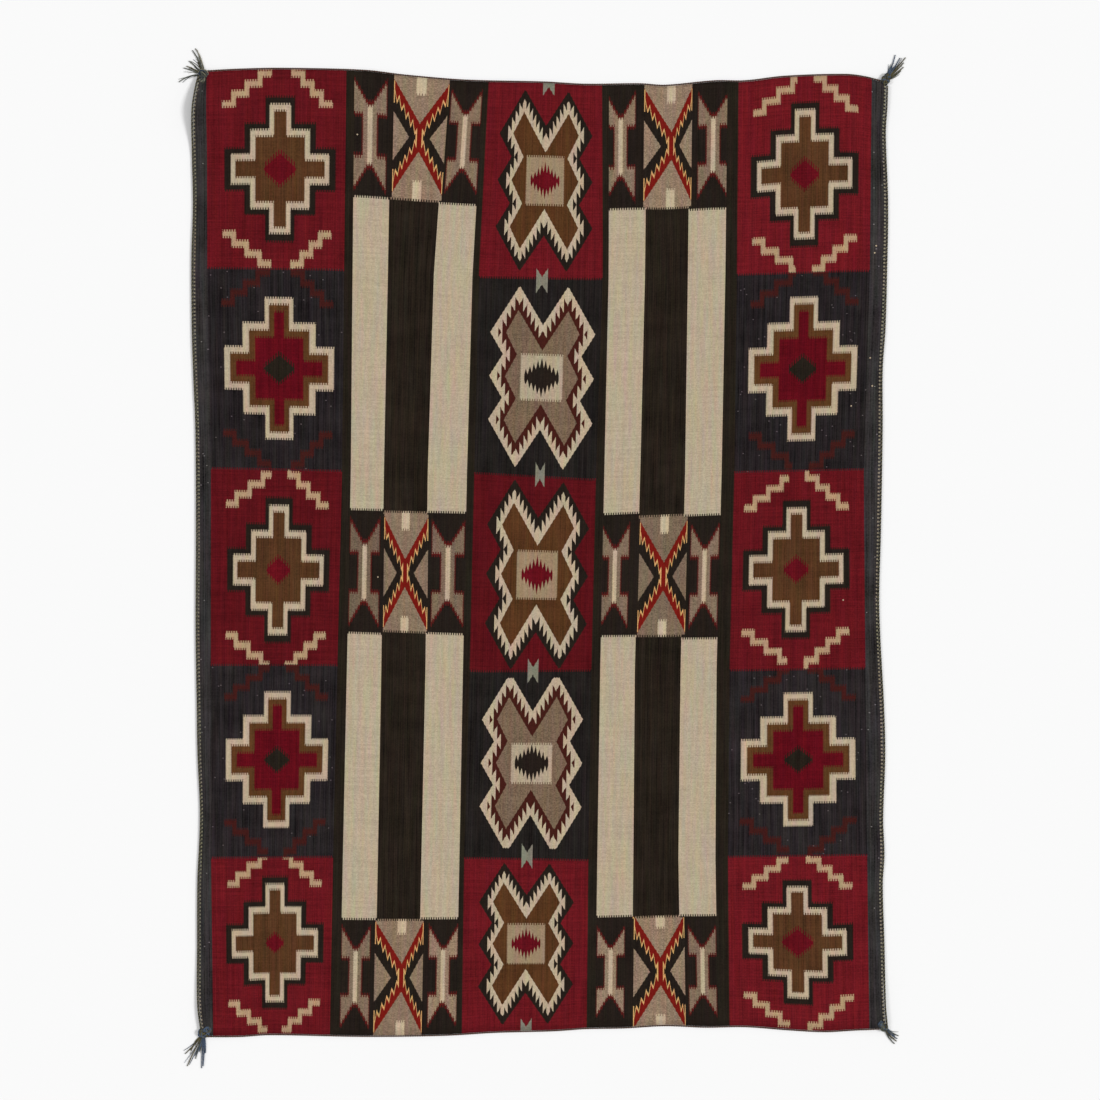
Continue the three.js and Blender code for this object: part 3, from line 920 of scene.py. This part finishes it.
def face_bands(middle_s, middle_t):
    """Faces that share a figure: one list for each band of columns and rows."""
    cuts = [*S_LINES, *[panel[0] for panel in PANEL_LIST]]
    cuts += [row[0] for row in CROSSES_WOVEN["left"] + CROSSES_WOVEN["right"]]
    cuts += [s - PANEL_HALF_WIDTH * left for s, _, left, _ in PANEL_LIST]
    cuts += [s + PANEL_HALF_WIDTH * right for s, _, _, right in PANEL_LIST]
    band = np.searchsorted(sorted(cuts), middle_s) * (len(ROW_CUTS) + 1)
    band += np.searchsorted(sorted(ROW_CUTS), middle_t)
    order = np.argsort(band, kind="stable")
    return np.split(order, np.flatnonzero(np.diff(band[order])) + 1)


def dress_sheet(mesh, woven):
    """Gives each face its material, and each corner of a face its places in the UV maps."""
    loop_point = np.zeros(len(mesh.loops), np.int32)
    mesh.loops.foreach_get("vertex_index", loop_point)
    counts = np.zeros(len(mesh.polygons), np.int32)
    mesh.polygons.foreach_get("loop_total", counts)
    loop_face = np.repeat(np.arange(len(counts)), counts)
    places = woven[loop_point]
    middle_s = np.bincount(loop_face, places[:, 0]) / counts
    middle_t = np.bincount(loop_face, places[:, 1]) / counts
    materials = np.zeros(len(counts), np.int32)
    figures, marks, sizes, tones = [np.zeros((len(counts), width)) for width in (4, 6, 2, 2)]
    for members in face_bands(middle_s, middle_t):
        zone = zone_of(middle_s[members].mean(), middle_t[members].mean())
        for values, value in zip((materials, figures, marks, sizes, tones), zone):
            values[members] = value
    mesh.polygons.foreach_set("material_index", materials)
    own, own_mark = figures[loop_face], marks[loop_face]
    maps = {
        "OFBake": (places - places.min(0)) / (places.max(0) - places.min(0)),
        "woven": places,
        "figure": (places - own[:, :2]) / own[:, 2:],
        "mark": (places - own_mark[:, :2]) * own_mark[:, 2:4] + own_mark[:, 4:],
        "size": sizes[loop_face],
        "tone": tones[loop_face],
    }
    for name, values in maps.items():
        layer = mesh.uv_layers.new(name=name)
        layer.data.foreach_set("uv", values.astype(np.float32).ravel())
    mesh.uv_layers.active = mesh.uv_layers["OFBake"]
    mesh.update()


# Cords and tassels: tubes of yarn along a path
PLY_OVERLAP = 1.06


def frames_along(path):
    """The level side and the upper side at each point of a path that never stands upright."""
    tangent = np.gradient(path, axis=0)
    tangent /= np.linalg.norm(tangent, axis=1)[:, None]
    side = np.cross([0.0, 0, 1], tangent)
    side /= np.maximum(np.linalg.norm(side, axis=1)[:, None], 1e-9)
    return side, np.cross(tangent, side)


def ring_points(path, side, upper, radius, sides):
    """Points around each point of a path; radius is a number, or one for each point."""
    angle = 2 * np.pi * np.arange(sides) / sides
    ring = np.cos(angle)[None, :, None] * side[:, None] + np.sin(angle)[None, :, None] * upper[:, None]
    radius = np.broadcast_to(radius, len(path))
    return (path[:, None] + radius[:, None, None] * ring).reshape(-1, 3)


def tube(path, radius, sides):
    """Points and faces of a closed tube."""
    points = ring_points(path, *frames_along(path), radius, sides)
    faces = grid_faces(len(path), sides, around=True)
    faces.append(tuple(reversed(range(sides))))
    faces.append(tuple(len(points) - sides + k for k in range(sides)))
    return points, faces


def loop_tube(path, radius, sides):
    """Points and faces of a closed ring of yarn."""
    tangent = np.roll(path, -1, 0) - np.roll(path, 1, 0)
    tangent /= np.linalg.norm(tangent, axis=1)[:, None]
    out = path - path.mean(0)
    out -= (out * tangent).sum(1)[:, None] * tangent
    out /= np.linalg.norm(out, axis=1)[:, None]
    points = ring_points(path, out, np.cross(tangent, out), radius, sides)
    return points, grid_faces(len(path), sides, around=True, ring=True)


def resampled(path, step):
    """The same path with points a step apart, and the distance of each along it."""
    lengths = np.concatenate([[0], np.cumsum(np.linalg.norm(np.diff(path, axis=0), axis=1))])
    count = max(int(np.ceil(lengths[-1] / step)), 3)
    along = np.linspace(0, lengths[-1], count + 1)
    return np.stack([np.interp(along, lengths, path[:, k]) for k in range(3)], 1), along


def plied(path, diameter, pitch, step, plies, sides, phase=0.0, taper=0.0):
    """Twisted plies along a path: a list of (points, faces)."""
    path, along = resampled(path, step)
    side, upper = frames_along(path)
    ply_radius = diameter / 2 / (1 + 1 / math.sin(math.pi / plies)) if plies > 1 else diameter / 2
    thin = 1 - taper * (along / along[-1]) ** 3
    found = []
    for ply in range(plies):
        turn = 2 * np.pi * (along / pitch + ply / plies) + phase
        around = np.cos(turn)[:, None] * side + np.sin(turn)[:, None] * upper
        centre = path + (diameter / 2 - ply_radius) * thin[:, None] * around
        found.append(tube(centre, ply_radius * PLY_OVERLAP * thin, sides))
    return found


def joined(name, parts, materials):
    """One object from (points, faces, material number) parts."""
    points, faces, numbers, count = [], [], [], 0
    for part_points, part_faces, number in parts:
        points.append(part_points)
        faces += [tuple(k + count for k in face) for face in part_faces]
        numbers += [number] * len(part_faces)
        count += len(part_points)
    thing = make_object(name, np.concatenate(points) * MM, faces, materials)
    thing.data.polygons.foreach_set("material_index", np.array(numbers, np.int32))
    thing.data.update()
    return thing


# Spun wool: scales of its noises, start and rise of the second colour, tone and relief of the fibres
CLOUD_SCALE, FIBRE_SCALE = 70.0, 900.0
SECOND_START, SECOND_RISE = -0.42, 3.0
FIBRE_TONE = (0.7, 0.65)
FIBRE_RELIEF = 0.0003


def yarn_material(name, colour, second):
    """Spun wool: fine fibres, soft changes of tone and a little of a second colour."""
    material, tree, shader = new_material(name)
    place = add_node(tree, "TexCoord", {}, "Object")

    def cloud(scale, detail):
        inputs = {"Vector": place, "Scale": scale, "Detail": detail, "Roughness": 0.65}
        return Field(tree, add_node(tree, "TexNoise", inputs))

    change = (cloud(CLOUD_SCALE, 2.0) + SECOND_START) * SECOND_RISE
    fibres = cloud(FIBRE_SCALE, 3.0)
    wool = blended(tree, change, wool_colour(colour), wool_colour(second))
    wool = tinted(tree, wool, fibres.times_plus(*FIBRE_TONE))
    finish_shader(tree, shader, wool, fibres, FIBRE_RELIEF)
    return material


DARK_PLY = yarn_material("dark_ply", (46, 44, 40), (34, 33, 30))
PALE_PLY = yarn_material("pale_ply", (112, 106, 86), (76, 73, 62))
END_PLY = yarn_material("end_ply", (96, 60, 48), (70, 56, 44))
END_PLY_DARK = yarn_material("end_ply_dark", (60, 55, 47), (82, 54, 44))
TASSEL_YARNS = [
    yarn_material("slate_yarn", (78, 92, 112), (48, 56, 68)),
    yarn_material("olive_yarn", (92, 86, 62), (56, 54, 42)),
    yarn_material("grey_green_yarn", (92, 94, 84), (54, 58, 54)),
    yarn_material("pale_yarn", (138, 134, 114), (96, 92, 78)),
    yarn_material("indigo_yarn", (54, 62, 76), (36, 40, 46)),
    DARK_PLY,
]
SLATE, OLIVE, GREEN, PALE, INDIGO, DARK = range(6)

# Cords: diameter, share that the plies fill, pitch of the twist, step along the path, share of the
# edge left free at each corner, and the two plies
CORDS = {
    "side": (SIDE_CORD_DIAMETER, 0.98, 7.6, 1.1, 8 / LENGTH, (DARK_PLY, PALE_PLY)),
    "end": (END_CORD_DIAMETER, 0.94, 9.6, 1.6, 6 / WIDTH, (END_PLY, END_PLY_DARK)),
}
CORD_POINTS = 400
SIDE_MIDDLE = SIDE_CORD_DIAMETER / 2 / WIDTH
END_MIDDLE = END_CORD_DIAMETER / 2 / LENGTH


def twisted_cord(name, kind, middle):
    """A cord along a side or an end, with its middle at that share of the way across the cloth."""
    diameter, fill, pitch, step, free, yarns = CORDS[kind]
    along = np.linspace(free, 1 - free, CORD_POINTS)
    across = np.full(CORD_POINTS, middle)
    x, y = cloth_place(across, along) if kind == "side" else cloth_place(along, across)
    path = np.stack([x, y, diameter / 2 + lift(x, y)], 1)
    plies = plied(path, diameter * fill, pitch, step, plies=2, sides=6)
    return joined(name, [(*ply, n) for n, ply in enumerate(plies)], yarns)


# Corner knots: lumps (x, y, radius in x, radius in y) and strands (heading, length, bend, yarn), both
# as in the CAD source
TASSELS = {
    "tassel_top_left": (
        [(-673, 958, 10, 10), (-675, 946, 8, 9)],
        [
            (80, 24, 40, GREEN), (91, 56, 38, PALE), (104, 54, 24, GREEN), (118, 28, -14, OLIVE),
            (131, 40, 12, GREEN), (146, 38, 16, OLIVE), (158, 42, 6, GREEN), (178, 52, 44, GREEN),
        ],
    ),
    "tassel_top_right": (
        [(690, 946, 8, 9), (694, 953, 6.5, 7)],
        [
            (70, 40, -12, SLATE), (62, 56, 16, SLATE), (54, 55, 6, SLATE), (47, 62, 4, OLIVE),
            (40, 52, 10, OLIVE), (31, 46, 14, OLIVE), (20, 38, 30, GREEN),
        ],
    ),
    "tassel_bottom_left": (
        [(-672, -958, 11, 9), (-665, -951, 8, 7)],
        [
            (222, 44, 26, OLIVE), (232, 56, -10, OLIVE), (240, 74, 8, OLIVE), (248, 54, 10, GREEN),
            (256, 48, -12, SLATE), (264, 70, 6, SLATE), (272, 66, -8, SLATE), (281, 40, -16, SLATE),
        ],
    ),
    "tassel_bottom_right": (
        [(688, -946, 7.5, 9), (681, -938, 6, 8)],
        [
            (288, 40, 34, GREEN), (299, 38, 30, OLIVE), (310, 35, 20, SLATE), (322, 34, 16, GREEN),
            (334, 28, -34, SLATE),
        ],
    ),
}
STRAND_LANDING = 14
STRAND_STEPS = 6
STRAND_FULLNESS = 1.35
STRAND_PITCH = 6.0
STRAND_STEP, STRAND_TAPER = 0.8, 0.3
# Loose fibres beside each strand: how many, how far they turn and bend away, their share of its
# length, diameter, step along the path and taper
LOOSE_FIBRES, FIBRE_TURN, FIBRE_BEND = 3, 9, 34
FIBRE_LENGTH, FIBRE_DIAMETER = (0.55, 0.98), (0.7, 1.3)
FIBRE_STEP, FIBRE_TAPER = 1.2, 0.5
# Yarn wound over a lump: turns and their sides, tilt in degrees and its stray, radius, share of the
# lump's size, and how far the turns stray and rise past it
WRAP_TURNS, WRAP_SIDES = 15, 7
WRAP_TILT, WRAP_TILT_STRAY = (30, 84), 6
WRAP_RADIUS, WRAP_SIZE = (0.8, 1.25), (0.86, 1.14)
WRAP_STRAY = 1.5
WRAP_RISE = 0.6
CLEARANCE = 0.1
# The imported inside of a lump: how much smaller and lower it is, its clearance, its rings and sides
CORE_INSET, CORE_DROP, CORE_FOOT = 1.0, 1.4, 0.15
CORE_RINGS, CORE_SIDES = 9, 20


def strand_path(root, heading, length, bend):
    """The CAD source's arc, level on the floor past the knot."""
    x, y = root
    stride = length / STRAND_STEPS
    points = []
    for i in range(STRAND_STEPS + 1):
        share = i / STRAND_STEPS
        fall = max(0.0, 1 - share * length / STRAND_LANDING)
        points.append((x, y, STRAND_RADIUS + fall * fall * (KNOT_BELLY - STRAND_RADIUS)))
        turn = math.radians(heading + bend * share)
        x += stride * math.cos(turn)
        y += stride * math.sin(turn)
    return smoothed(np.array(points))


def smoothed(points, count=10):
    """A Catmull-Rom curve through the points."""
    padded = np.concatenate([[2 * points[0] - points[1]], points, [2 * points[-1] - points[-2]]])
    found = []
    for a, b, c, d in zip(padded, padded[1:], padded[2:], padded[3:]):
        for t in np.arange(count) / count:
            square = (2 * a - 5 * b + 4 * c - d) * t * t
            found.append(0.5 * (2 * b + (c - a) * t + square + (3 * b - a - 3 * c + d) * t**3))
    found.append(points[-1])
    return np.array(found)


def knot_wraps(lump, yarns):
    """Turns of yarn over a lump of the knot, each a loop tilted its own way, flat on the floor."""
    x, y, radius_x, radius_y = lump
    angle = np.linspace(0, 2 * np.pi, 41)[:-1]
    parts = []
    for turn in range(WRAP_TURNS):
        tilt = mix(*WRAP_TILT, turn / (WRAP_TURNS - 1)) + rng.uniform(-WRAP_TILT_STRAY, WRAP_TILT_STRAY)
        tilt = math.radians(tilt)
        spin = rng.uniform(0, 2 * math.pi)
        size = rng.uniform(*WRAP_SIZE)
        yarn_radius = rng.uniform(*WRAP_RADIUS)
        middle_x = x + rng.uniform(-WRAP_STRAY, WRAP_STRAY)
        middle_y = y + rng.uniform(-WRAP_STRAY, WRAP_STRAY)
        a, b = np.cos(angle), np.sin(angle) * math.cos(tilt)
        turned_x = a * math.cos(spin) - b * math.sin(spin)
        turned_y = a * math.sin(spin) + b * math.cos(spin)
        rise = KNOT_HEIGHT - KNOT_BELLY - yarn_radius + WRAP_RISE
        z = KNOT_BELLY + rise * (np.sin(angle) * math.sin(tilt))
        centre = np.stack([
            middle_x + (radius_x - yarn_radius) * size * turned_x,
            middle_y + (radius_y - yarn_radius) * size * turned_y,
            np.maximum(z, yarn_radius + CLEARANCE),
        ], 1)
        yarn = yarns[int(rng.integers(len(yarns)))]
        parts.append((*loop_tube(centre, yarn_radius, WRAP_SIDES), yarn))
    return parts


def knot_core(lump):
    """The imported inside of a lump, just under its wraps."""
    x, y, radius_x, radius_y = lump
    polar, angle = np.meshgrid(
        np.pi * np.arange(CORE_RINGS + 1) / CORE_RINGS, 2 * np.pi * np.arange(CORE_SIDES) / CORE_SIDES,
        indexing="ij",
    )
    points = np.stack([
        x + (radius_x - CORE_INSET) * np.sin(polar) * np.cos(angle),
        y + (radius_y - CORE_INSET) * np.sin(polar) * np.sin(angle),
        np.maximum(KNOT_BELLY + (KNOT_HEIGHT - KNOT_BELLY - CORE_DROP) * np.cos(polar), CORE_FOOT),
    ], 2)
    return points.reshape(-1, 3), grid_faces(CORE_RINGS + 1, CORE_SIDES, around=True, flip=True)


def tassel(name, lumps, strands):
    parts = []
    mixed = [*[row[3] for row in strands], INDIGO, INDIGO]
    for lump in lumps:
        parts.append((*knot_core(lump), DARK))
        parts += knot_wraps(lump, mixed)
    root = lumps[0][:2]
    thickness = 2 * STRAND_RADIUS * STRAND_FULLNESS
    for heading, length, bend, yarn in strands:
        path = strand_path(root, heading, length, bend)
        path[:, 2] += thickness / 2 - STRAND_RADIUS + CLEARANCE
        twist = (STRAND_PITCH, STRAND_STEP, 2, 6, rng.uniform(0, 6.28), STRAND_TAPER)
        parts += [(*ply, yarn) for ply in plied(path, thickness, *twist)]
        for _ in range(LOOSE_FIBRES):
            turned = heading + rng.uniform(-FIBRE_TURN, FIBRE_TURN)
            shorter = length * rng.uniform(*FIBRE_LENGTH)
            path = strand_path(root, turned, shorter, bend + rng.uniform(-FIBRE_BEND, FIBRE_BEND))
            loose = mixed[int(rng.integers(len(mixed)))]
            diameter = rng.uniform(*FIBRE_DIAMETER)
            fibre = plied(path, diameter, STRAND_PITCH, FIBRE_STEP, plies=1, sides=5, taper=FIBRE_TAPER)[0]
            parts.append((*fibre, loose))
    return joined(name, parts, TASSEL_YARNS)


# Pieces
sheet = woven_sheet()
cords = {
    "side_cord_left": twisted_cord("twisted_cord_left", "side", SIDE_MIDDLE),
    "side_cord_right": twisted_cord("twisted_cord_right", "side", 1 - SIDE_MIDDLE),
    "end_cord_top": twisted_cord("twisted_cord_top", "end", 1 - END_MIDDLE),
    "end_cord_bottom": twisted_cord("twisted_cord_bottom", "end", END_MIDDLE),
}
tassels = {node: tassel("yarn_" + node, *facts) for node, facts in TASSELS.items()}

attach(sheet, "root")
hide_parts("rug")
for node, piece in cords.items():
    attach(piece, "root")
    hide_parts(node)
for node, piece in tassels.items():
    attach(piece, "root")
    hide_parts(node)

# Floor, lights and surroundings
FLOOR_HALF = 6.0
FLOOR_COLOUR = (0.8, 0.8, 0.8, 1)
WORLD_STRENGTH = 0.62
# Lamps: azimuth in degrees, and energy
LAMPS = {"lamp_left": (180, 0.74), "lamp_right": (0, 2.20)}
LAMP_ELEVATION = 38
LAMP_ANGLE = 16

floor_corners = [(-1, -1), (1, -1), (1, 1), (-1, 1)]
floor_points = [(x * FLOOR_HALF, y * FLOOR_HALF, 0) for x, y in floor_corners]
floor_material, _, floor_shader = new_material("pale_floor", 1.0, 0.0)
floor_shader.inputs["Base Color"].default_value = FLOOR_COLOUR
floor = make_object("floor", floor_points, [(0, 1, 2, 3)], [floor_material])

world = bpy.data.worlds.new("studio")
world.use_nodes = True
world.node_tree.nodes["Background"].inputs["Color"].default_value = (1, 1, 1, 1)
world.node_tree.nodes["Background"].inputs["Strength"].default_value = WORLD_STRENGTH
bpy.context.scene.world = world
for name, (azimuth, energy) in LAMPS.items():
    lamp_data = bpy.data.lights.new(name, "SUN")
    lamp_data.energy = energy
    lamp_data.angle = math.radians(LAMP_ANGLE)
    lamp = bpy.data.objects.new(name, lamp_data)
    lamp.rotation_euler = (0, math.radians(90 - LAMP_ELEVATION), math.radians(azimuth))
    bpy.context.scene.collection.objects.link(lamp)
bpy.context.scene.view_settings.view_transform = "Standard"
